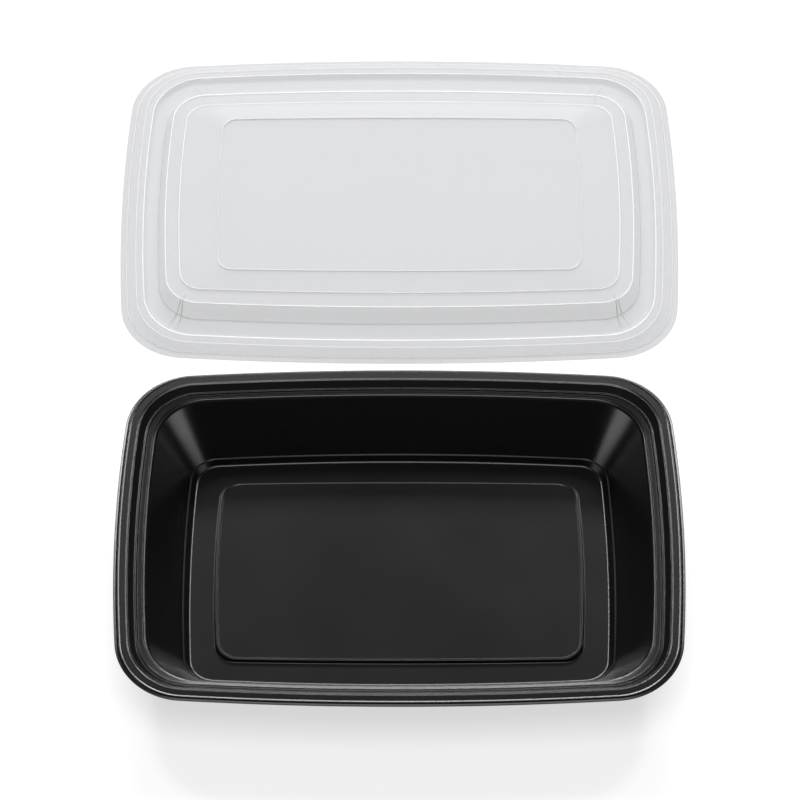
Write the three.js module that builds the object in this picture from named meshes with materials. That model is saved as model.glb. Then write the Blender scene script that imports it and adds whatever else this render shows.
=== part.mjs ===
// Takeaway meal container: an empty black tray with a rolled rim, and its clear lid lying flat behind it.
// Millimetres, +Z up, X along the container's length. Both pieces rest on the plane z = 0.
import * as THREE from "three";

// Driving dimensions of the tray
const TRAY_HALF_LENGTH = 107.5;
const TRAY_HALF_WIDTH = 76.4;
const TRAY_HEIGHT = 28;
const TRAY_WALL = 0.8;
const FLANGE_WIDTH = 1;
const FLANGE_DROP = 0.6;
const BEAD_OUTER = 1.8;
const BEAD_INNER = 5.6;
const GROOVE_INSET = 7.8;
const GROOVE_DEPTH = 2.4;
const LEDGE_INSET = 8.4;
const LEDGE_DROP = 1.95;
const LIP_INSET = 11.6;
const LIP_DROP = 3.5;
const CREASE_INSET = 24.8;
const CREASE_HEIGHT = 3.6;
const FLOOR_INSET = 27.3;
const PANEL_INSET = 36.8;
const PANEL_RISE = 1.5;

// Driving dimensions of the lid
const LID_HALF_LENGTH = 114;
const LID_HALF_WIDTH = 79.6;
const LID_WALL = 0.6;
const SKIRT_INSET = 2.6;
const CHANNEL_INSET = 6.4;
const CHANNEL_INNER = 9.3;
const CHANNEL_HEIGHT = 3.1;
const VALLEY_INSET = 10.8;
const VALLEY_HEIGHT = 1.6;
const WALL_FOOT_INSET = 15;
const PLATEAU_INSET = 18.4;
const PLATEAU_HEIGHT = 7.4;
const STEP_INSET = 24;
const STEP_RISE = 0.9;
const RIDGE_INSET = 39.9;
const RIDGE_HALF_WIDTH = 0.7;
const RIDGE_RISE = 0.6;
const LID_HEIGHT = 10.1;

// Clear floor between the tray's rim and the lid's edge
const GAP_BETWEEN = 23.1;

// Points on each of the eight arcs that make one plan outline
const CORNER_STEPS = 10;
const SIDE_STEPS = 5;
const END_STEPS = 4;

// Plan rings of the tray, from the rim's edge in to the raised floor panel. Length follows from the inset
const TRAY_RINGS = [
  { inset: 0, width: TRAY_HALF_WIDTH, corner: 26.5, ends: 5, sides: 4.6 },
  { inset: BEAD_OUTER, width: 75, corner: 25, ends: 4.9, sides: 4.4 },
  { inset: LEDGE_INSET, width: 68.2, corner: 20.5, ends: 4, sides: 3.8 },
  { inset: LIP_INSET, width: 66.1, corner: 20.5, ends: 3.8, sides: 3.6 },
  { inset: CREASE_INSET, width: 53.2, corner: 11, ends: 2.4, sides: 2.9 },
  { inset: FLOOR_INSET, width: 51.3, corner: 9.3, ends: 2, sides: 2.6 },
  { inset: PANEL_INSET, width: 41.6, corner: 7.6, ends: 1.8, sides: 0.9 },
  { inset: 60, width: 20, corner: 5, ends: 0.9, sides: 0.4 },
].map((ring) => ({ ...ring, length: TRAY_HALF_LENGTH - ring.inset }));

// Plan rings of the lid, from its outer edge in to the top panel
const LID_RINGS = [
  { inset: 0, width: LID_HALF_WIDTH, corner: 26.5, ends: 4.4, sides: 5 },
  { inset: SKIRT_INSET, width: 77.4, corner: 25.5, ends: 4.3, sides: 4.8 },
  { inset: CHANNEL_INSET, width: 73.6, corner: 23, ends: 4.2, sides: 4.4 },
  { inset: VALLEY_INSET, width: 68.3, corner: 20, ends: 4, sides: 4 },
  { inset: WALL_FOOT_INSET, width: 61.9, corner: 17.5, ends: 3.6, sides: 3.6 },
  { inset: PLATEAU_INSET, width: 56.9, corner: 13.5, ends: 3, sides: 3.1 },
  { inset: STEP_INSET, width: 50.3, corner: 9, ends: 2.4, sides: 2.4 },
  { inset: RIDGE_INSET, width: 40.3, corner: 5.8, ends: 1.2, sides: 1 },
  { inset: 60, width: 20, corner: 4, ends: 0.5, sides: 0.5 },
].map((ring) => ({ ...ring, length: LID_HALF_LENGTH - ring.inset }));

/** Eight tangent arcs: bowed ends and sides joined by round corners, counterclockwise from +X. */
function planOutline({ length, width, corner, ends, sides }) {
  const sideRadius = (length * length + sides * sides) / (2 * sides);
  const endRadius = (width * width + ends * ends) / (2 * ends);
  const sideCentre = new THREE.Vector2(0, width - sideRadius);
  const endCentre = new THREE.Vector2(length - endRadius, 0);
  const centre = new THREE.Vector2(length - corner, width - corner);
  for (let round = 0; round < 40; round++) {
    // Slide the corner's centre until it touches both bowed arcs from inside
    const fromSide = centre.clone().sub(sideCentre);
    fromSide.setLength(fromSide.length() - (sideRadius - corner));
    centre.y -= fromSide.y;
    const fromEnd = centre.clone().sub(endCentre);
    fromEnd.setLength(fromEnd.length() - (endRadius - corner));
    centre.x -= fromEnd.x;
  }
  const endAngle = centre.clone().sub(endCentre).angle();
  const sideAngle = centre.clone().sub(sideCentre).angle();
  const quarter = [
    ...arcPoints(endCentre, endRadius, 0, endAngle, END_STEPS),
    ...arcPoints(centre, corner, endAngle, sideAngle, CORNER_STEPS),
    ...arcPoints(sideCentre, sideRadius, sideAngle, Math.PI / 2, SIDE_STEPS),
  ];
  const mirrored = quarter.slice(1).reverse().map((p) => new THREE.Vector2(-p.x, p.y));
  const top = new THREE.Vector2(0, width);
  const half = [...quarter, top, ...mirrored];
  return [...half, ...half.map((p) => new THREE.Vector2(-p.x, -p.y))];
}

/** Points along one arc, without its last one. */
function arcPoints(centre, radius, from, to, steps) {
  const arc = new THREE.ArcCurve(centre.x, centre.y, radius, from, to, false);
  return arc.getPoints(steps).slice(0, -1);
}

/** The plan outline at any inset, blended between the two nearest named rings. */
function outlineAt(rings, inset) {
  let last = 1;
  while (last < rings.length - 1 && inset > rings[last].inset) last++;
  const [outer, inner] = [rings[last - 1], rings[last]];
  const share = (inset - outer.inset) / (inner.inset - outer.inset);
  const innerPoints = planOutline(inner);
  return planOutline(outer).map((p, i) => p.clone().lerp(innerPoints[i], share));
}

/** A section line with each corner rounded by its own radius. A corner is [inset, height, radius, steps]. */
function roundedSection(corners) {
  const points = [];
  corners.forEach(([inset, height, radius = 0, steps = 1], i) => {
    const here = new THREE.Vector2(inset, height);
    if (i === 0 || i === corners.length - 1 || radius === 0) {
      points.push(here);
      return;
    }
    const before = new THREE.Vector2(...corners[i - 1].slice(0, 2)).sub(here);
    const after = new THREE.Vector2(...corners[i + 1].slice(0, 2)).sub(here);
    const turn = Math.PI - Math.acos(before.dot(after) / (before.length() * after.length()));
    const reach = Math.min(radius * Math.tan(turn / 2), 0.45 * before.length(), 0.45 * after.length());
    const curve = new THREE.QuadraticBezierCurve(
      here.clone().add(before.setLength(reach)), here, here.clone().add(after.setLength(reach)));
    points.push(...curve.getPoints(steps));
  });
  return points;
}

/** The same section line moved down by the wall's thickness, square to each stretch. */
function undersideOf(corners, wall) {
  const normals = corners.slice(1).map(([inset, height], i) => {
    const along = new THREE.Vector2(inset - corners[i][0], height - corners[i][1]).normalize();
    return new THREE.Vector2(along.y, -along.x);
  });
  return corners.map(([inset, height, radius = 0, steps = 1], i) => {
    const before = normals[Math.max(i - 1, 0)];
    const after = normals[Math.min(i, normals.length - 1)];
    const mitre = before.clone().add(after);
    mitre.multiplyScalar(2 * wall / mitre.lengthSq());
    const turnsUp = before.cross(after) > 0;
    const outerRadius = radius === 0 ? 0 : Math.max(radius + (turnsUp ? wall : -wall), 0.1);
    return [inset + mitre.x, height + mitre.y, outerRadius, steps];
  });
}

/** A thin shell swept round the plan rings: the section on top, the same one below by the wall. */
function shell(rings, corners, wall) {
  const upper = roundedSection(corners);
  const lower = roundedSection(undersideOf(corners, wall));
  const positions = [];
  const faces = [];
  const addRings = (section) => section.map(({ x: inset, y: height }) => {
    const first = positions.length / 3;
    outlineAt(rings, inset).forEach((p) => positions.push(p.x, p.y, height));
    return first;
  });
  const upperRings = addRings(upper);
  const around = positions.length / 3 / upperRings.length;
  const lowerRings = addRings(lower);
  const band = (from, to) => {
    for (let i = 0; i < around; i++) {
      const next = (i + 1) % around;
      faces.push(from + i, from + next, to + next, from + i, to + next, to + i);
    }
  };
  const cap = (ring, height, up) => {
    const middle = positions.length / 3;
    positions.push(0, 0, height);
    for (let i = 0; i < around; i++) {
      const next = (i + 1) % around;
      faces.push(...(up ? [ring + i, ring + next, middle] : [ring + next, ring + i, middle]));
    }
  };
  for (let i = 1; i < upperRings.length; i++) band(upperRings[i - 1], upperRings[i]);
  for (let i = 1; i < lowerRings.length; i++) band(lowerRings[i], lowerRings[i - 1]);
  band(lowerRings[0], upperRings[0]);
  cap(upperRings.at(-1), upper.at(-1).y, true);
  cap(lowerRings.at(-1), lower.at(-1).y, false);
  const geometry = new THREE.BufferGeometry();
  geometry.setAttribute("position", new THREE.Float32BufferAttribute(positions, 3));
  geometry.setIndex(faces);
  geometry.computeVertexNormals();
  return geometry;
}

/** Tray: edge flange, bead, groove, ledge, sloping wall, crease, floor channel and raised floor panel. */
function trayGeometry() {
  const top = TRAY_HEIGHT;
  const floor = TRAY_WALL;
  const section = [
    [0, top - FLANGE_DROP - 0.15],
    [FLANGE_WIDTH, top - FLANGE_DROP],
    [BEAD_OUTER, top, 0.4],
    [BEAD_INNER, top, 0.6],
    [GROOVE_INSET, top - GROOVE_DEPTH],
    [LEDGE_INSET, top - LEDGE_DROP],
    [LIP_INSET, top - LIP_DROP, 0.9, 2],
    [CREASE_INSET, CREASE_HEIGHT],
    [FLOOR_INSET, floor, 2.4, 2],
    [PANEL_INSET, floor],
    [PANEL_INSET + 0.5, floor + PANEL_RISE, 0.4],
    [PANEL_INSET + 3, floor + PANEL_RISE],
  ];
  return shell(TRAY_RINGS, section, TRAY_WALL);
}

/** Lid: edge, sloping skirt, channel over the bead, valley, plateau wall, step and top ridge line. */
function lidGeometry() {
  const panel = LID_HEIGHT - RIDGE_RISE;
  const section = [
    [0, LID_WALL],
    [SKIRT_INSET - 0.7, LID_WALL],
    [SKIRT_INSET, LID_WALL + 0.5],
    [CHANNEL_INSET, CHANNEL_HEIGHT, 0.6, 2],
    [CHANNEL_INNER, CHANNEL_HEIGHT + 0.2, 0.5],
    [VALLEY_INSET, VALLEY_HEIGHT, 0.7],
    [WALL_FOOT_INSET, VALLEY_HEIGHT + 0.3, 1.2, 2],
    [PLATEAU_INSET, PLATEAU_HEIGHT, 0.8, 2],
    [STEP_INSET - 0.7, PLATEAU_HEIGHT + 0.3],
    [STEP_INSET, PLATEAU_HEIGHT + 0.3 + STEP_RISE, 0.4],
    [RIDGE_INSET - RIDGE_HALF_WIDTH, panel],
    [RIDGE_INSET, LID_HEIGHT],
    [RIDGE_INSET + RIDGE_HALF_WIDTH, panel],
    [RIDGE_INSET + 3, panel],
  ];
  return shell(LID_RINGS, section, LID_WALL);
}

/** Both pieces share one length along Y, so the whole is centred on the origin. */
function layout() {
  const total = 2 * TRAY_HALF_WIDTH + GAP_BETWEEN + 2 * LID_HALF_WIDTH;
  return { trayY: TRAY_HALF_WIDTH - total / 2, lidY: total / 2 - LID_HALF_WIDTH };
}

const { trayY, lidY } = layout();

const blackPlastic = new THREE.MeshStandardMaterial({ color: 0x161616, roughness: 0.38, metalness: 0 });
const clearPlastic = new THREE.MeshStandardMaterial({
  color: 0xe4e6e9, roughness: 0.25, metalness: 0, transparent: true, opacity: 0.6,
});

const tray = new THREE.Mesh(trayGeometry(), blackPlastic);
tray.name = "tray";
tray.position.set(0, trayY, 0);

const lid = new THREE.Mesh(lidGeometry(), clearPlastic);
lid.name = "lid";
lid.position.set(0, lidY, 0);

const group = new THREE.Group();
group.add(tray, lid);

export default group;
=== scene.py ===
"""Takeaway meal container: a black tray with a beaded rim, and its clear lid lying behind it."""
import logging
import math
from collections.abc import Iterator
from dataclasses import dataclass, field
from enum import Enum

import bpy
from mathutils import Matrix, Vector


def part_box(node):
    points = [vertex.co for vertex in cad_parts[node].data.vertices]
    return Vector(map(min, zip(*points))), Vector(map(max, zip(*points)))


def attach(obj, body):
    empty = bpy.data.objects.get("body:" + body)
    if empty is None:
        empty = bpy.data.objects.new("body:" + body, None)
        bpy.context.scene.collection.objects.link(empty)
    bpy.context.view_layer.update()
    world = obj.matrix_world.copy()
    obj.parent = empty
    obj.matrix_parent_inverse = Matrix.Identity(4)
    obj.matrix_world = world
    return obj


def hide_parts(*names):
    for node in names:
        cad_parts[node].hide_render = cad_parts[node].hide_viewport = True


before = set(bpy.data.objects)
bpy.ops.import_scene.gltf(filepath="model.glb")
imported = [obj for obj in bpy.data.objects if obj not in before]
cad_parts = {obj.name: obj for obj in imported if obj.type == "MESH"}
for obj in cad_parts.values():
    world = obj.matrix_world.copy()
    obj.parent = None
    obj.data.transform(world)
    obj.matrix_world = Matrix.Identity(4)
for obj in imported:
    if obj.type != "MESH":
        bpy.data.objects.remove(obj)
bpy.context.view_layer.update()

log = logging.getLogger("container")
Socket = bpy.types.NodeSocket

MM = 0.001
BODY = "root"
# Attribute that paints highlight lines along the lid's folds: where set, the clear plastic turns near white
# and more opaque, standing in for light caught by the crests.
FOLD_HIGHLIGHT = "fold"
SETTLING_ROUNDS = 40


class Slot(Enum):
    """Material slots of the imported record."""

    BLACK = "black_plastic"
    CLEAR = "clear_plastic"


class Quarter(Enum):
    """The four corners of a piece seen from above, as signs along X and Y."""

    BACK_RIGHT = (1, 1)
    BACK_LEFT = (-1, 1)
    FRONT_LEFT = (-1, -1)
    FRONT_RIGHT = (1, -1)


# Outlines seen from above

@dataclass(frozen=True)
class ArcSteps:
    """How many points each arc of a quarter outline gets."""

    end: int
    corner: int
    side: int

    @property
    def around(self) -> int:
        """Points in the whole outline."""
        return 4 * (self.end + self.corner + self.side)


@dataclass(frozen=True)
class PlanRing:
    """One outline of a piece from above: bowed ends and sides joined by round corners, in metres."""

    inset: float
    length: float
    width: float
    corner: float
    ends: float
    sides: float

    def quarter_arcs(self) -> tuple[tuple[Vector, float, float, float], ...]:
        """Work out the three tangent arcs of the first quarter.

        Returns:
            Centre, radius, first angle and last angle of the end, corner and side arcs.
        """
        side_radius = (self.length ** 2 + self.sides ** 2) / (2 * self.sides)
        end_radius = (self.width ** 2 + self.ends ** 2) / (2 * self.ends)
        side_centre = Vector((0, self.width - side_radius))
        end_centre = Vector((self.length - end_radius, 0))
        centre = Vector((self.length - self.corner, self.width - self.corner))
        for _ in range(SETTLING_ROUNDS):
            from_side = centre - side_centre
            centre.y -= from_side.y * (1 - (side_radius - self.corner) / from_side.length)
            from_end = centre - end_centre
            centre.x -= from_end.x * (1 - (end_radius - self.corner) / from_end.length)
        end_angle = math.atan2(centre.y - end_centre.y, centre.x - end_centre.x)
        side_angle = math.atan2(centre.y - side_centre.y, centre.x - side_centre.x)
        return (
            (end_centre, end_radius, 0.0, end_angle),
            (centre, self.corner, end_angle, side_angle),
            (side_centre, side_radius, side_angle, math.pi / 2),
        )

    def points(self, steps: ArcSteps) -> list[Vector]:
        """Place points round the whole outline, counterclockwise from +X.

        Args:
            steps: Points for each arc of a quarter.

        Returns:
            The outline's points, without repeating the first.
        """
        quarter = []
        counts = (steps.end, steps.corner, steps.side)
        for (centre, radius, first, last), count in zip(self.quarter_arcs(), counts):
            for i in range(count):
                angle = first + (last - first) * i / count
                quarter.append(centre + radius * Vector((math.cos(angle), math.sin(angle))))
        half = [*quarter, Vector((0, self.width)), *(Vector((-p.x, p.y)) for p in quarter[:0:-1])]
        return [*half, *(-p for p in half)]

    def at_corner(self, turn: float) -> Vector:
        """Return the point of the first quarter's corner arc whose outward direction is turn radians."""
        centre, radius, _, _ = self.quarter_arcs()[1]
        return centre + radius * Vector((math.cos(turn), math.sin(turn)))


# Sections through the wall

@dataclass(frozen=True)
class Bend:
    """One corner of a section line: inset, height and rounding radius in metres, and how strong a painted
    highlight line its crest gets.
    """

    inset: float
    height: float
    radius: float = 0.0
    # Share of painted highlight on this bend's crest, 0 for none.
    fold: float = 0.0

    @property
    def place(self) -> Vector:
        """The corner as a flat vector."""
        return Vector((self.inset, self.height))


@dataclass(frozen=True)
class Section:
    """The closed wall section of a thin shell, from its middle out to the edge and back below."""

    bends: tuple[Bend, ...]
    wall: float
    edge_radius: float
    arc_steps: int = 5
    support: float = 0.12 * MM
    least_radius: float = 0.1 * MM
    usable_share: float = 0.47

    def underside(self) -> list[Bend]:
        """Offset the upper line by the wall's thickness, square to each stretch.

        Returns:
            The lower line's bends, in the same order.
        """
        normals = []
        for first, second in zip(self.bends, self.bends[1:]):
            along = (second.place - first.place).normalized()
            normals.append(Vector((along.y, -along.x)))
        lower = []
        for i, bend in enumerate(self.bends):
            before = normals[max(i - 1, 0)]
            after = normals[min(i, len(normals) - 1)]
            mitre = before + after
            mitre *= 2 * self.wall / mitre.length_squared
            turns_up = before.x * after.y - before.y * after.x > 0
            radius = bend.radius + (self.wall if turns_up else -self.wall)
            radius = max(radius, self.least_radius) if bend.radius else 0.0
            place = bend.place + mitre
            lower.append(Bend(place.x, place.y, radius, bend.fold))
        return lower

    def rounded(self, bends: list[Bend]) -> list[Vector]:
        """Round each bend with an arc, and set support points just outside it.

        Args:
            bends: The section line's corners.

        Returns:
            The points along the rounded line, with the share of painted highlight as third number.
        """
        points = [bends[0].place.to_3d()]
        for before, bend, after in zip(bends, bends[1:], bends[2:]):
            # Carry the bend's painted highlight share onto its arc points.
            pale = Vector((0, 0, bend.fold))
            back = before.place - bend.place
            ahead = after.place - bend.place
            turn = math.pi - back.angle(ahead)
            limit = self.usable_share * min(back.length, ahead.length)
            reach = min(bend.radius * math.tan(turn / 2), limit - self.support)
            radius = reach / math.tan(turn / 2)
            start = bend.place + back.normalized() * reach
            end = bend.place + ahead.normalized() * reach
            inward = (back.normalized() + ahead.normalized()).normalized()
            centre = bend.place + inward * (radius / math.cos(turn / 2))
            sweep = self._sweep(start - centre, end - centre)
            points.append((start + back.normalized() * self.support).to_3d())
            for i in range(self.arc_steps + 1):
                swept = Matrix.Rotation(sweep * i / self.arc_steps, 2)
                points.append((centre + swept @ (start - centre)).to_3d() + pale)
            points.append((end + ahead.normalized() * self.support).to_3d())
        points.append(bends[-1].place.to_3d())
        return points

    @staticmethod
    def _sweep(first: Vector, last: Vector) -> float:
        """Return the signed angle from one arm to another, counterclockwise positive."""
        return math.atan2(first.x * last.y - first.y * last.x, first.dot(last))

    def line(self) -> list[Vector]:
        """Join the upper line, the rounded edge and the lower line.

        Returns:
            Points from the middle of the top, out round the edge, to the middle below.
        """
        lower = self.underside()
        edge_top, edge_low = self.bends[0], lower[0]
        path = [
            *reversed(self.bends[1:]),
            Bend(edge_top.inset, edge_top.height, self.edge_radius),
            Bend(edge_low.inset, edge_low.height, self.edge_radius),
            *lower[1:],
        ]
        return self.rounded(path)


# Node trees

class TreeMaker:
    """Adds and links the nodes of one tree."""

    def __init__(self, tree: bpy.types.NodeTree) -> None:
        """Keep the tree that the nodes go into."""
        self.tree = tree

    def node(self, kind: str, inputs: dict | None = None, **settings: object) -> bpy.types.Node:
        """Add one node.

        Args:
            kind: The node's Blender type.
            inputs: Socket name or number to a value, or to a socket to link from.
            settings: Properties of the node itself.

        Returns:
            The new node.
        """
        made = self.tree.nodes.new(kind)
        for name, value in settings.items():
            setattr(made, name, value)
        for key, value in (inputs or {}).items():
            if isinstance(value, Socket):
                self.tree.links.new(value, made.inputs[key])
            else:
                made.inputs[key].default_value = value
        return made

    def math(self, operation: str, *values: Socket | float) -> Socket:
        """Add a Math node and return its result socket."""
        made = self.node("ShaderNodeMath", dict(enumerate(values)), operation=operation)
        return made.outputs[0]


class PlanLoft:
    """Geometry Nodes tree that carries a wall section round a stack of plan rings."""

    def __init__(self) -> None:
        """Build the tree with its named inputs."""
        self.group = bpy.data.node_groups.new("plan_loft", "GeometryNodeTree")
        face = self.group.interface
        face.new_socket("Section", in_out="INPUT", socket_type="NodeSocketGeometry")
        face.new_socket("Rings", in_out="INPUT", socket_type="NodeSocketObject")
        face.new_socket("Points Around", in_out="INPUT", socket_type="NodeSocketInt")
        face.new_socket("Seam Reach", in_out="INPUT", socket_type="NodeSocketFloat")
        face.new_socket("Finish", in_out="INPUT", socket_type="NodeSocketMaterial")
        face.new_socket("Shell", in_out="OUTPUT", socket_type="NodeSocketGeometry")
        self._fill(TreeMaker(self.group))

    @staticmethod
    def _sample(make: TreeMaker, geometry: Socket, value: Socket, index: Socket, kind: str) -> Socket:
        """Read a value of another geometry at an index.

        Args:
            make: The tree's maker.
            geometry: Socket of the geometry that is read.
            value: Socket of the field that is read there.
            index: Socket that gives the index.
            kind: Data type, FLOAT or FLOAT_VECTOR.

        Returns:
            The sampled value's socket.
        """
        node = make.node("GeometryNodeSampleIndex", {
            "Geometry": geometry, "Index": index, "Value": value}, data_type=kind, domain="POINT")
        return node.outputs[0]

    def _fill(self, make: TreeMaker) -> None:
        """Lay out the nodes: a grid, its place on the section, its place on the rings, and its share of
        painted highlight.

        Args:
            make: The tree's maker.
        """
        given = make.node("NodeGroupInput").outputs
        section, around = given["Section"], given["Points Around"]
        size = make.node("GeometryNodeAttributeDomainSize", {"Geometry": section}, component="MESH")
        columns = make.math("ADD", around, 1)
        grid = make.node("GeometryNodeMeshGrid", {
            "Vertices X": size.outputs["Point Count"], "Vertices Y": columns})
        index = make.node("GeometryNodeInputIndex").outputs[0]
        row = make.math("FLOOR", make.math("DIVIDE", make.math("ADD", index, 0.5), columns))
        column = make.math("SUBTRACT", index, make.math("MULTIPLY", row, columns))
        spoke = make.math("MODULO", column, around)
        place = make.node("GeometryNodeInputPosition").outputs[0]
        ring = make.node("GeometryNodeInputNamedAttribute", {"Name": "ring"}, data_type="FLOAT")
        share = make.node("GeometryNodeInputNamedAttribute", {"Name": "share"}, data_type="FLOAT")
        fold = make.node("GeometryNodeInputNamedAttribute", {"Name": FOLD_HIGHLIGHT}, data_type="FLOAT")
        rings = make.node("GeometryNodeObjectInfo", {"Object": given["Rings"]}).outputs["Geometry"]
        here = self._sample(make, section, place, row, "FLOAT_VECTOR")
        ring_here = self._sample(make, section, ring.outputs[0], row, "FLOAT")
        share_here = self._sample(make, section, share.outputs[0], row, "FLOAT")
        outer_index = make.math("ADD", make.math("MULTIPLY", ring_here, around), spoke)
        inner_index = make.math("ADD", outer_index, around)
        outer = self._sample(make, rings, place, outer_index, "FLOAT_VECTOR")
        inner = self._sample(make, rings, place, inner_index, "FLOAT_VECTOR")
        mixed = make.node("ShaderNodeMix", {0: share_here, 4: outer, 5: inner}, data_type="VECTOR")
        flat = make.node("ShaderNodeSeparateXYZ", {0: mixed.outputs[1]})
        tall = make.node("ShaderNodeSeparateXYZ", {0: here})
        spot = make.node("ShaderNodeCombineXYZ", {0: flat.outputs[0], 1: flat.outputs[1], 2: tall.outputs[2]})
        # Store each point's share of painted highlight on the shell, for the clear lid's highlight lines.
        fold_highlight_here = self._sample(make, section, fold.outputs[0], row, "FLOAT")
        with_fold_highlight = make.node("GeometryNodeStoreNamedAttribute", {
            "Geometry": grid.outputs["Mesh"], "Name": FOLD_HIGHLIGHT, "Value": fold_highlight_here}, data_type="FLOAT")
        placed = make.node("GeometryNodeSetPosition", {
            "Geometry": with_fold_highlight.outputs[0], "Position": spot.outputs[0]})
        closed = make.node("GeometryNodeMergeByDistance", {
            "Geometry": placed.outputs[0], "Distance": given["Seam Reach"]})
        turned = make.node("GeometryNodeFlipFaces", {"Mesh": closed.outputs[0]})
        smooth = make.node("GeometryNodeSetShadeSmooth", {"Geometry": turned.outputs[0]})
        whole = make.node("GeometryNodeRealizeInstances", {"Geometry": smooth.outputs[0]})
        dressed = make.node("GeometryNodeSetMaterial", {
            "Geometry": whole.outputs[0], "Material": given["Finish"]})
        make.node("NodeGroupOutput", {"Shell": dressed.outputs[0]})


class LugSweep:
    """Geometry Nodes tree that sweeps a low rounded rib along each given path."""

    tip_share = 0.25
    corner_share = 0.45
    corner_points = 4
    # Share of painted highlight on the lug ribs, making their edges read as pale lines of caught light.
    painted_highlight = 0.55

    def __init__(self) -> None:
        """Build the tree with its named inputs."""
        self.group = bpy.data.node_groups.new("lug_sweep", "GeometryNodeTree")
        face = self.group.interface
        face.new_socket("Paths", in_out="INPUT", socket_type="NodeSocketGeometry")
        face.new_socket("Width", in_out="INPUT", socket_type="NodeSocketFloat")
        face.new_socket("Height", in_out="INPUT", socket_type="NodeSocketFloat")
        face.new_socket("Finish", in_out="INPUT", socket_type="NodeSocketMaterial")
        face.new_socket("Lugs", in_out="OUTPUT", socket_type="NodeSocketGeometry")
        self._fill(TreeMaker(self.group))

    def _fill(self, make: TreeMaker) -> None:
        """Lay out the nodes: path, tapering radius, rounded profile, sweep, and the painted highlight share.

        Args:
            make: The tree's maker.
        """
        given = make.node("NodeGroupInput").outputs
        curve = make.node("GeometryNodeMeshToCurve", {"Mesh": given["Paths"]})
        upright = make.node("GeometryNodeSetCurveNormal", {"Curve": curve.outputs[0]}, mode="Z_UP")
        along = make.node("GeometryNodeSplineParameter").outputs["Factor"]
        taper = make.node("ShaderNodeMapRange", {
            "Value": along, "From Min": 0.0, "From Max": 1.0, "To Min": 1.0, "To Max": self.tip_share})
        thinned = make.node("GeometryNodeSetCurveRadius", {
            "Curve": upright.outputs[0], "Radius": taper.outputs[0]})
        box = make.node("GeometryNodeCurvePrimitiveQuadrilateral", {
            "Width": given["Width"], "Height": given["Height"]})
        corner = make.math("MULTIPLY", given["Height"], self.corner_share)
        rounded = make.node("GeometryNodeFilletCurve", {
            "Curve": box.outputs[0], "Count": self.corner_points, "Radius": corner}, mode="POLY")
        swept = make.node("GeometryNodeCurveToMesh", {
            "Curve": thinned.outputs[0], "Profile Curve": rounded.outputs[0], "Fill Caps": True})
        # Mark the whole rib with the painted highlight share.
        pale = make.node("GeometryNodeStoreNamedAttribute", {
            "Geometry": swept.outputs[0], "Name": FOLD_HIGHLIGHT, "Value": self.painted_highlight}, data_type="FLOAT")
        smooth = make.node("GeometryNodeSetShadeSmooth", {"Geometry": pale.outputs[0]})
        whole = make.node("GeometryNodeRealizeInstances", {"Geometry": smooth.outputs[0]})
        dressed = make.node("GeometryNodeSetMaterial", {
            "Geometry": whole.outputs[0], "Material": given["Finish"]})
        make.node("NodeGroupOutput", {"Lugs": dressed.outputs[0]})


def grown(name: str, base: bpy.types.Mesh, group: bpy.types.NodeTree, values: dict) -> bpy.types.Object:
    """Run a Geometry Nodes tree on a mesh and keep the result as a plain mesh.

    Args:
        name: Name of the finished piece.
        base: Mesh that the tree starts from.
        group: The tree.
        values: Input name to value.

    Returns:
        The finished piece, linked to the scene, without modifiers.
    """
    seed = bpy.data.objects.new(name, base)
    bpy.context.scene.collection.objects.link(seed)
    modifier = seed.modifiers.new("make", "NODES")
    modifier.node_group = group
    sockets = {s.name: s.identifier for s in group.interface.items_tree if s.in_out == "INPUT"}
    for key, value in values.items():
        modifier[sockets[key]] = value
    graph = bpy.context.evaluated_depsgraph_get()
    mesh = bpy.data.meshes.new_from_object(seed.evaluated_get(graph), depsgraph=graph)
    seed.modifiers.clear()
    seed.data = mesh
    mesh.name = name
    return seed


# Finishes

class MouldedSurface:
    """Shader node group for moulded plastic: fine grain as height, and slow clouds as a mask."""

    def __init__(self) -> None:
        """Build the group with named inputs and outputs."""
        self.group = bpy.data.node_groups.new("moulded_surface", "ShaderNodeTree")
        face = self.group.interface
        face.new_socket("Place", in_out="INPUT", socket_type="NodeSocketVector")
        face.new_socket("Grain Scale", in_out="INPUT", socket_type="NodeSocketFloat")
        face.new_socket("Cloud Scale", in_out="INPUT", socket_type="NodeSocketFloat")
        face.new_socket("Height", in_out="OUTPUT", socket_type="NodeSocketFloat")
        face.new_socket("Clouds", in_out="OUTPUT", socket_type="NodeSocketFloat")
        make = TreeMaker(self.group)
        given = make.node("NodeGroupInput").outputs
        grain = make.node("ShaderNodeTexNoise", {
            "Vector": given["Place"], "Scale": given["Grain Scale"], "Detail": 3.0, "Roughness": 0.6})
        clouds = make.node("ShaderNodeTexNoise", {
            "Vector": given["Place"], "Scale": given["Cloud Scale"], "Detail": 2.0, "Roughness": 0.5})
        make.node("NodeGroupOutput", {"Height": grain.outputs[0], "Clouds": clouds.outputs[0]})


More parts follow.
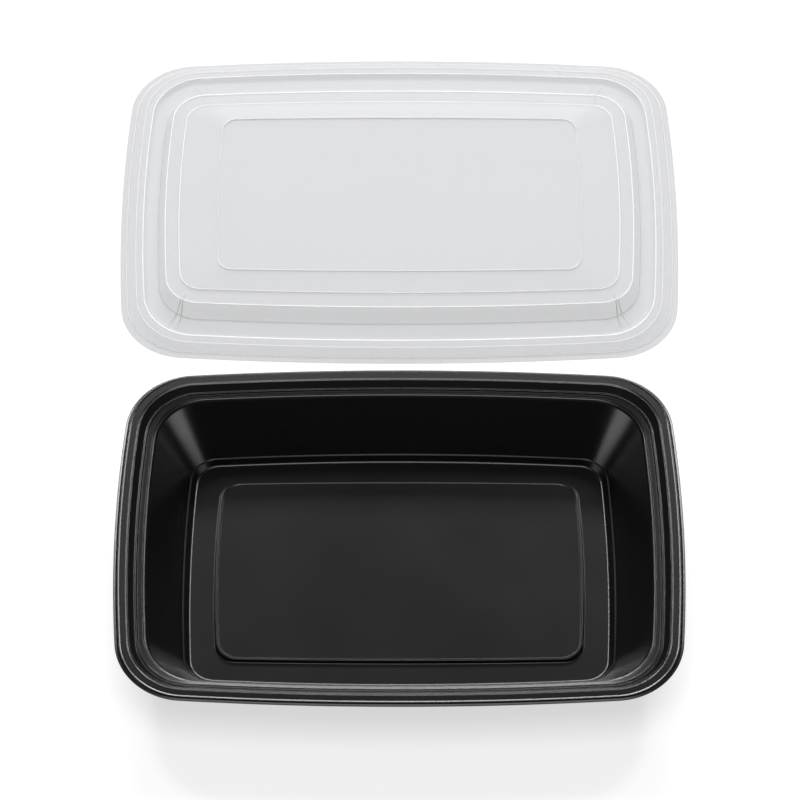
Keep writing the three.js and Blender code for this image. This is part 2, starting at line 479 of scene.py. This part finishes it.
@dataclass(frozen=True)
class Plastic:
    """What the container's two plastics share: colours, gloss, the moulded surface, and for a see-through one
    painted highlight lines on its folds.
    """

    name: str
    dark: tuple[float, float, float]
    pale: tuple[float, float, float]
    gloss: tuple[float, float]
    grain_scale: float
    cloud_scale: float
    grain_depth: float
    alpha: float = 1.0
    # Near-white colour and opacity painted on folds as highlight lines, standing in for light caught by the
    # crests.
    fold_highlight_colour: tuple[float, float, float] = (0.0, 0.0, 0.0)
    fold_highlight_alpha: float = 1.0
    shine: float = 0.5

    def build(self, surface: MouldedSurface) -> bpy.types.Material:
        """Make the material.

        Args:
            surface: The shared group that gives grain and clouds.

        Returns:
            The finished material.
        """
        material = bpy.data.materials.new(self.name)
        material.use_nodes = True
        make = TreeMaker(material.node_tree)
        shader = material.node_tree.nodes["Principled BSDF"]
        shader.inputs["Specular IOR Level"].default_value = self.shine
        place = make.node("ShaderNodeTexCoord").outputs["Object"]
        relief = make.node("ShaderNodeGroup", {
            "Place": place, "Grain Scale": self.grain_scale, "Cloud Scale": self.cloud_scale,
        }, node_tree=surface.group)
        clouds = relief.outputs["Clouds"]
        colour = self._mixed(make, clouds, (*self.dark, 1), (*self.pale, 1))
        make.tree.links.new(colour, shader.inputs["Base Color"])
        self._spread(make, clouds, self.gloss, shader.inputs["Roughness"])
        # See-through plastics get painted highlight lines on their folds.
        if self.alpha < 1:
            self._paint_fold_highlights(make, colour, shader)
        bump = make.node("ShaderNodeBump", {
            "Height": relief.outputs["Height"], "Distance": self.grain_depth, "Strength": 1.0})
        make.tree.links.new(bump.outputs[0], shader.inputs["Normal"])
        return material

    def _paint_fold_highlights(self, make: TreeMaker, colour: Socket, shader: bpy.types.Node) -> None:
        """Let light through the flats, and paint highlight lines on the folds: paler and more opaque where
        the highlight mask is set.

        Args:
            make: The material's node maker.
            colour: Socket of the flats' colour.
            shader: The material's shader.
        """
        # Mask of painted highlight from the shell's points.
        fold = make.node("ShaderNodeAttribute", attribute_name=FOLD_HIGHLIGHT).outputs["Fac"]
        highlight_colour = self._mixed(make, fold, colour, (*self.fold_highlight_colour, 1))
        make.tree.links.new(highlight_colour, shader.inputs["Base Color"])
        self._spread(make, fold, (self.alpha, self.fold_highlight_alpha), shader.inputs["Alpha"])

    @staticmethod
    def _mixed(make: TreeMaker, mask: Socket, first: Socket | tuple, second: tuple) -> Socket:
        """Mix two colours by a mask.

        Args:
            make: The material's node maker.
            mask: Socket that runs from 0 to 1.
            first: Colour at 0, or its socket.
            second: Colour at 1.

        Returns:
            The mixed colour's socket.
        """
        return make.node("ShaderNodeMix", {0: mask, 6: first, 7: second}, data_type="RGBA").outputs[2]

    @staticmethod
    def _spread(make: TreeMaker, mask: Socket, ends: tuple[float, float], socket: Socket) -> None:
        """Drive a socket between two values by a mask.

        Args:
            make: The material's node maker.
            mask: Socket that runs from 0 to 1.
            ends: Values at 0 and 1.
            socket: The shader's input.
        """
        node = make.node("ShaderNodeMapRange", {"Value": mask, "To Min": ends[0], "To Max": ends[1]})
        make.tree.links.new(node.outputs[0], socket)


BLACK_PLASTIC = Plastic(
    name="black_plastic", dark=(0.002, 0.002, 0.0021), pale=(0.003, 0.003, 0.0031),
    gloss=(0.24, 0.28), grain_scale=2600, cloud_scale=25, grain_depth=0.0001 * MM)
# The clear lid's near-white, nearly opaque colour on its folds is a painted highlight.
CLEAR_PLASTIC = Plastic(
    name="clear_plastic", dark=(0.37, 0.377, 0.396), pale=(0.38, 0.387, 0.406),
    gloss=(0.26, 0.3), grain_scale=2200, cloud_scale=25, grain_depth=0.0001 * MM, alpha=0.3,
    fold_highlight_colour=(0.88, 0.885, 0.89), fold_highlight_alpha=0.85, shine=0.12)


# Pieces

@dataclass
class Shell:
    """A thin piece lofted from a wall section and plan rings, standing for one CAD node."""

    node: str
    slot: Slot
    finish: Plastic
    wall: float
    edge_radius: float
    steps: ArcSteps

    def __post_init__(self) -> None:
        """Take the piece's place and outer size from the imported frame."""
        low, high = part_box(self.node)
        self.middle = Vector(((low.x + high.x) / 2, (low.y + high.y) / 2))
        self.half_length = (high.x - low.x) / 2
        self.half_width = (high.y - low.y) / 2
        self.top = high.z

    def rings(self) -> list[PlanRing]:
        """Return the plan rings from the edge in."""
        raise NotImplementedError

    def stack(self, rows: tuple[tuple[float, float, float, float, float], ...]) -> list[PlanRing]:
        """Make plan rings whose length follows from their inset, and a last one at the middle.

        Args:
            rows: Inset in metres, then half width, corner radius and the bows of ends and sides in mm.

        Returns:
            The rings from the edge in.
        """
        rings = []
        for inset, width, corner, ends, sides in rows:
            length = self.half_length - inset
            rings.append(PlanRing(inset, length, width * MM, corner * MM, ends * MM, sides * MM))
        return [*rings, PlanRing(self.half_length, 0.0, 0.0, 0.0, 0.0, 0.0)]

    def bends(self) -> tuple[Bend, ...]:
        """Return the upper section line from the edge in."""
        raise NotImplementedError

    def section(self) -> Section:
        """Return the wall section."""
        return Section(self.bends(), self.wall, self.edge_radius)

    def ring_share(self, inset: float) -> tuple[int, float]:
        """Find where an inset lies between the plan rings.

        Args:
            inset: Distance in from the edge along the piece's length.

        Returns:
            Number of the ring outside it, and the share of the way to the next.
        """
        rings = self.rings()
        last = len(rings) - 2
        number = max((i for i, ring in enumerate(rings) if ring.inset <= inset), default=0)
        number = min(number, last)
        outer, inner = rings[number], rings[number + 1]
        return number, (inset - outer.inset) / (inner.inset - outer.inset)

    def ring_mesh(self) -> bpy.types.Mesh:
        """Make loose points for all rings in order, and one last ring drawn in to the middle.

        Returns:
            The points' mesh.
        """
        spots = []
        for ring in self.rings():
            if ring.corner:
                spots += [(*(p + self.middle), 0) for p in ring.points(self.steps)]
            else:
                spots += [(*self.middle, 0)] * self.steps.around
        mesh = bpy.data.meshes.new(f"{self.node}_rings")
        mesh.from_pydata(spots, [], [])
        return mesh

    def section_mesh(self) -> bpy.types.Mesh:
        """Make the section line with the ring, the share and the amount of painted highlight that each point
        needs.

        Returns:
            The line's mesh.
        """
        line = self.section().line()
        mesh = bpy.data.meshes.new(f"{self.node}_section")
        edges = [(i, i + 1) for i in range(len(line) - 1)]
        mesh.from_pydata([(p.x, 0, p.y) for p in line], edges, [])
        shares = [self.ring_share(p.x) for p in line]
        columns = {
            "ring": [ring for ring, _ in shares],
            "share": [share for _, share in shares],
            # Painted highlight share of each point.
            FOLD_HIGHLIGHT: [p.z for p in line],
        }
        for name, values in columns.items():
            layer = mesh.attributes.new(name, "FLOAT", "POINT")
            layer.data.foreach_set("value", [float(v) for v in values])
        return mesh

    def build(self, loft: PlanLoft, surface: MouldedSurface) -> bpy.types.Object:
        """Loft the shell, dress it, attach it to the body and hide its CAD node.

        Args:
            loft: The shared Geometry Nodes tree.
            surface: The shared shader group.

        Returns:
            The finished piece.
        """
        rings = bpy.data.objects.new(f"{self.node}_rings", self.ring_mesh())
        self.material = self.finish.build(surface)
        piece = grown(f"{self.node}_shell", self.section_mesh(), loft.group, {
            "Rings": rings, "Points Around": self.steps.around,
            "Seam Reach": 0.002 * MM, "Finish": self.material})
        bpy.data.objects.remove(rings)
        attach(piece, BODY)
        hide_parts(self.node)
        return piece


@dataclass
class Tray(Shell):
    """The black tray: edge, bead, groove, ledge, sloping wall, floor channel and raised panel."""

    node: str = "tray"
    slot: Slot = Slot.BLACK
    finish: Plastic = BLACK_PLASTIC
    wall: float = 0.8 * MM
    edge_radius: float = 0.3 * MM
    steps: ArcSteps = field(default_factory=lambda: ArcSteps(end=12, corner=28, side=16))
    flange_width: float = 0.9 * MM
    flange_drop: float = 0.6 * MM
    bead_outer: float = 1.8 * MM
    bead_inner: float = 5.6 * MM
    ridge_width: float = 0.6 * MM
    ridge_rise: float = 0.18 * MM
    groove_inset: float = 7.8 * MM
    groove_depth: float = 2.4 * MM
    ledge_inset: float = 8.4 * MM
    ledge_drop: float = 1.95 * MM
    lip_inset: float = 11.6 * MM
    lip_drop: float = 3.5 * MM
    crease_inset: float = 24.8 * MM
    crease_height: float = 3.6 * MM
    floor_inset: float = 27.3 * MM
    panel_inset: float = 36.8 * MM
    panel_rise: float = 1.5 * MM
    panel_slope: float = 0.5 * MM
    border_width: float = 0.7 * MM
    border_slope: float = 0.3 * MM

    def rings(self) -> list[PlanRing]:
        """Lay out the outlines seen from above.

        Returns:
            The plan rings from the rim's edge in to the middle.
        """
        return self.stack((
            (0.0, self.half_width / MM, 26.5, 5, 4.6),
            (self.bead_outer, 75, 25, 4.9, 4.4),
            (self.ledge_inset, 68.2, 20.5, 4, 3.8),
            (self.lip_inset, 66.1, 20.5, 3.8, 3.6),
            (self.crease_inset, 53.2, 11, 2.4, 2.9),
            (self.floor_inset, 51.3, 9.3, 2, 2.6),
            (self.panel_inset, 41.6, 7.6, 1.8, 0.9),
            (60 * MM, 20, 5, 0.9, 0.4),
        ))

    def bends(self) -> tuple[Bend, ...]:
        """Lay out the upper section line.

        Returns:
            The line's bends from the rim's edge in to the middle.
        """
        top, floor = self.top, self.wall
        ridge, rise = self.ridge_width, self.ridge_rise
        flange = top - self.flange_drop
        ledge, lip = top - self.ledge_drop, top - self.lip_drop
        panel = floor + self.panel_rise
        border = self.panel_inset + self.panel_slope
        return (
            Bend(0.0, flange - rise),
            Bend(self.flange_width, flange, 0.15 * MM),
            Bend(self.bead_outer - ridge / 4, top, 0.45 * MM),
            Bend(self.bead_outer + 0.9 * ridge, top - 1.2 * rise, 0.25 * MM),
            Bend(self.bead_inner - 1.8 * ridge, top - 0.8 * rise, 0.3 * MM),
            Bend(self.bead_inner - ridge, top - 2 * rise, 0.2 * MM),
            Bend(self.bead_inner - ridge / 4, top - rise, 0.35 * MM),
            Bend(self.groove_inset, top - self.groove_depth, 0.3 * MM),
            Bend(self.ledge_inset, ledge, 0.3 * MM),
            Bend(self.ledge_inset + ridge, ledge - 4 * rise, 0.3 * MM),
            Bend(self.lip_inset - 1.4 * ridge, lip + 3.4 * rise, 0.4 * MM),
            Bend(self.lip_inset - 0.8 * ridge, lip + 1.6 * rise, 0.2 * MM),
            Bend(self.lip_inset, lip + rise, 0.45 * MM),
            Bend(self.lip_inset + 1.2 * ridge, lip - 2.5 * rise, 0.6 * MM),
            Bend(self.crease_inset, self.crease_height, 0.2 * MM),
            Bend(self.crease_inset + 1.2 * ridge, self.crease_height - 2 * rise, 0.3 * MM),
            Bend(self.floor_inset, floor, 1.6 * MM),
            Bend(self.panel_inset, floor, 0.35 * MM),
            Bend(border, panel, 0.5 * MM),
            Bend(border + self.border_width, panel, 0.3 * MM),
            Bend(border + self.border_width + self.border_slope, panel - rise, 0.3 * MM),
            Bend(self.half_length, panel - rise),
        )


@dataclass
class Lid(Shell):
    """The clear lid: edge, channel, valley, plateau wall, step and the top panel's ridge line."""

    node: str = "lid"
    slot: Slot = Slot.CLEAR
    finish: Plastic = CLEAR_PLASTIC
    wall: float = 0.6 * MM
    edge_radius: float = 0.22 * MM
    steps: ArcSteps = field(default_factory=lambda: ArcSteps(end=12, corner=28, side=16))
    crest: float = 0.35 * MM
    skirt_inset: float = 2.6 * MM
    skirt_run: float = 0.7 * MM
    skirt_rise: float = 0.6 * MM
    line_depth: float = 0.15 * MM
    channel_inset: float = 6.4 * MM
    channel_inner: float = 9.3 * MM
    channel_height: float = 3.1 * MM
    valley_inset: float = 10.8 * MM
    valley_height: float = 1.6 * MM
    foot_inset: float = 15.0 * MM
    plateau_inset: float = 18.4 * MM
    plateau_height: float = 7.4 * MM
    shelf_rise: float = 0.3 * MM
    step_inset: float = 24.0 * MM
    step_rise: float = 0.9 * MM
    ridge_inset: float = 39.9 * MM
    ridge_half_width: float = 0.7 * MM
    ridge_rise: float = 0.6 * MM
    lug_width: float = 0.4 * MM
    lug_height: float = 0.12 * MM
    lug_spread: float = math.radians(5.5)
    lug_narrowing: float = 0.85
    lug_points: int = 30
    lug_span: tuple[float, float] = (11.3 * MM, 20.5 * MM)
    lug_turns: tuple[float, float] = (math.radians(60), math.radians(84))

    def rings(self) -> list[PlanRing]:
        """Lay out the outlines seen from above.

        Returns:
            The plan rings from the outer edge in to the middle.
        """
        return self.stack((
            (0.0, self.half_width / MM, 26.5, 4.4, 5),
            (self.skirt_inset, 77.4, 25.5, 4.3, 4.8),
            (self.channel_inset, 73.6, 23, 4.2, 4.4),
            (self.valley_inset, 68.3, 20, 4, 4),
            (self.foot_inset, 61.9, 17.5, 3.6, 3.6),
            (self.plateau_inset, 56.9, 13.5, 3, 3.1),
            (self.step_inset, 50.3, 9, 2.4, 2.4),
            (self.ridge_inset, 40.3, 5.8, 1.2, 1),
            (60 * MM, 20, 4, 0.5, 0.5),
        ))

    def bends(self) -> tuple[Bend, ...]:
        """Lay out the upper section line.

        Returns:
            The line's bends from the outer edge in to the middle.
        """
        panel, crest = self.top - self.ridge_rise, self.crest
        channel, shelf = self.channel_height, self.plateau_height + self.shelf_rise
        return (
            # A fourth number on a bend paints a highlight line along that crest.
            Bend(0.0, self.wall),
            Bend(self.skirt_inset - self.skirt_run, self.wall, 0.3 * MM),
            Bend(self.skirt_inset, self.wall + self.skirt_rise, 0.4 * MM, 1.0),
            Bend(self.channel_inset, channel, 0.4 * MM, 0.8),
            Bend(self.channel_inset + crest, channel - self.line_depth, 0.2 * MM),
            Bend(self.channel_inset + 3 * crest, channel + self.line_depth, 0.2 * MM),
            Bend(self.channel_inner, channel + 0.2 * MM, 0.45 * MM, 0.9),
            Bend(self.valley_inset, self.valley_height, 0.8 * MM),
            Bend(self.foot_inset - 2 * crest, self.valley_height + 0.2 * MM, 0.4 * MM),
            Bend(self.foot_inset, self.valley_height + 0.7 * MM, 0.4 * MM, 0.5),
            Bend(self.plateau_inset - crest, self.plateau_height - crest, 0.4 * MM),
            Bend(self.plateau_inset, self.plateau_height + 0.2 * MM, 0.4 * MM, 1.0),
            Bend(self.plateau_inset + 2 * crest, self.plateau_height, 0.3 * MM),
            Bend(self.step_inset - 2 * crest, shelf, 0.3 * MM),
            Bend(self.step_inset, shelf + self.step_rise, 0.4 * MM, 0.9),
            Bend(self.step_inset + 2 * crest, shelf + self.step_rise - 0.1 * MM, 0.3 * MM),
            Bend(self.ridge_inset - self.ridge_half_width, panel, 0.2 * MM),
            Bend(self.ridge_inset - crest / 2, self.top, 0.25 * MM, 0.9),
            Bend(self.ridge_inset + crest / 2, self.top, 0.25 * MM, 0.9),
            Bend(self.ridge_inset + self.ridge_half_width, panel, 0.2 * MM),
            Bend(self.half_length, panel),
        )

    def surface_point(self, inset: float, turn: float, quarter: Quarter) -> Vector:
        """Find a point on the lid's upper face near one corner.

        Args:
            inset: Distance in from the edge.
            turn: Outward direction on the corner arc, from X, in radians.
            quarter: Which corner.

        Returns:
            The point in the frame.
        """
        number, share = self.ring_share(inset)
        rings = self.rings()
        flat = rings[number].at_corner(turn).lerp(rings[number + 1].at_corner(turn), share)
        line = self.section().rounded(list(self.bends()))
        height = 0.0
        for first, second in zip(line, line[1:]):
            if first.x <= inset <= second.x:
                part = (inset - first.x) / max(second.x - first.x, 1e-9)
                height = first.y + (second.y - first.y) * part
        sign_x, sign_y = quarter.value
        return Vector((self.middle.x + sign_x * flat.x, self.middle.y + sign_y * flat.y, height))

    def lug_paths(self) -> Iterator[list[Vector]]:
        """Lay out the two edges of each wedge-shaped denesting lug.

        Yields:
            One edge's points, from the valley up to the lug's tip.
        """
        first, last = self.lug_span
        for quarter in Quarter:
            turn = self.lug_turns[1 if quarter.value[1] > 0 else 0]
            for side in (-1, 1):
                path = []
                for i in range(self.lug_points):
                    share = i / (self.lug_points - 1)
                    spread = side * self.lug_spread * (1 - self.lug_narrowing * share)
                    inset = first + (last - first) * share
                    path.append(self.surface_point(inset, turn + spread, quarter))
                yield path

    def build_lugs(self, sweep: LugSweep) -> bpy.types.Object:
        """Sweep the four denesting lugs over the finished lid.

        Args:
            sweep: The Geometry Nodes tree for the ribs.

        Returns:
            The lugs as one piece.
        """
        spots, edges = [], []
        for path in self.lug_paths():
            start = len(spots)
            spots += [tuple(p) for p in path]
            edges += [(start + i, start + i + 1) for i in range(len(path) - 1)]
        mesh = bpy.data.meshes.new("lug_paths")
        mesh.from_pydata(spots, edges, [])
        piece = grown("lid_lugs", mesh, sweep.group, {
            "Width": self.lug_width, "Height": self.lug_height, "Finish": self.material})
        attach(piece, BODY)
        return piece


# Studio

@dataclass(frozen=True)
class Softbox:
    """One soft lamp that faces the pieces: its directions in degrees, size in metres and power in watts."""

    name: str
    turn: float
    lift: float
    size: tuple[float, float]
    power: float
    reach: float = 2.2

    def build(self) -> None:
        """Hang the lamp, turned from straight behind the pieces and lifted from the floor."""
        turn, lift = math.radians(self.turn), math.radians(self.lift)
        flat = Vector((math.sin(turn), math.cos(turn), 0)) * math.cos(lift)
        out = flat + Vector((0, 0, math.sin(lift)))
        data = bpy.data.lights.new(self.name, "AREA")
        data.shape = "RECTANGLE"
        data.size, data.size_y = self.size
        data.energy = self.power
        lamp = bpy.data.objects.new(self.name, data)
        lamp.location = out * self.reach
        lamp.rotation_euler = (-out).to_track_quat("-Z", "Y").to_euler()
        bpy.context.scene.collection.objects.link(lamp)


@dataclass
class Studio:
    """Pale floor, soft lamps and the camera at the photograph's viewing angle."""

    floor_size: float = 8.0
    floor_colour: tuple[float, float, float] = (0.5, 0.5, 0.5)
    floor_glow: float = 0.62
    floor_roughness: float = 0.9
    floor_shine: float = 0.1
    floor_drop: float = 0.05 * MM
    world_strength: float = 0.06
    elevation: float = math.radians(54)
    distance: float = 1.5
    field_pixels: float = 3790.0
    frame_pixels: float = 800.0
    sensor_width: float = 36.0
    aim_from_tray: float = 81.75 * MM
    aim_right: float = 0.25 * MM
    softboxes: tuple[Softbox, ...] = (
        Softbox("lamp_top", 180, 76, (1.2, 1.2), 20),
        Softbox("lamp_back", 0, 33, (1.2, 0.3), 29, 2.0),
        Softbox("lamp_back_left", -35, 44, (0.35, 0.35), 14),
        Softbox("lamp_back_right", 35, 44, (0.35, 0.35), 14),
        Softbox("lamp_left", -118, 10, (1.2, 0.5), 7),
        Softbox("lamp_right", 118, 10, (1.2, 0.5), 7),
    )

    def build(self) -> None:
        """Set up floor, world, lamps and camera."""
        self._floor()
        self._world()
        for softbox in self.softboxes:
            softbox.build()
        self._camera()

    def _floor(self) -> None:
        """Lay the floor just under the pieces."""
        half = self.floor_size / 2
        corners = [(-half, -half), (half, -half), (half, half), (-half, half)]
        mesh = bpy.data.meshes.new("floor")
        mesh.from_pydata([(x, y, -self.floor_drop) for x, y in corners], [], [(0, 1, 2, 3)])
        floor = bpy.data.objects.new("floor", mesh)
        bpy.context.scene.collection.objects.link(floor)
        material = bpy.data.materials.new("floor_paper")
        material.use_nodes = True
        shader = material.node_tree.nodes["Principled BSDF"]
        shader.inputs["Base Color"].default_value = (*self.floor_colour, 1)
        shader.inputs["Roughness"].default_value = self.floor_roughness
        shader.inputs["Specular IOR Level"].default_value = self.floor_shine
        shader.inputs["Emission Color"].default_value = (1, 1, 1, 1)
        shader.inputs["Emission Strength"].default_value = self.floor_glow
        mesh.materials.append(material)

    def _world(self) -> None:
        """Fill the room with even white light."""
        world = bpy.data.worlds.new("room")
        bpy.context.scene.world = world
        world.use_nodes = True
        back = world.node_tree.nodes["Background"]
        back.inputs["Color"].default_value = (1, 1, 1, 1)
        back.inputs["Strength"].default_value = self.world_strength

    def _camera(self) -> None:
        """Aim a long lens down at the gap between tray and lid."""
        low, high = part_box("tray")
        aim = Vector((self.aim_right, (low.y + high.y) / 2 + self.aim_from_tray, 0))
        back = Vector((0, -math.cos(self.elevation), math.sin(self.elevation)))
        data = bpy.data.cameras.new("camera")
        data.sensor_width = self.sensor_width
        data.lens = self.sensor_width * self.field_pixels / self.frame_pixels
        camera = bpy.data.objects.new("camera", data)
        camera.location = aim + back * self.distance
        camera.rotation_euler = (-back).to_track_quat("-Z", "Y").to_euler()
        bpy.context.scene.collection.objects.link(camera)
        bpy.context.scene.camera = camera
        bpy.context.scene.view_settings.view_transform = "Standard"


def main() -> None:
    """Build the tray, the lid with its lugs, and the studio."""
    logging.basicConfig(level=logging.INFO, format="%(name)s: %(message)s")
    loft, sweep, surface = PlanLoft(), LugSweep(), MouldedSurface()
    tray, lid = Tray(), Lid()
    pieces = [tray.build(loft, surface), lid.build(loft, surface), lid.build_lugs(sweep)]
    for piece in pieces:
        log.info("%s: %d faces", piece.name, len(piece.data.polygons))
    Studio().build()


if __name__ == "__main__":
    main()
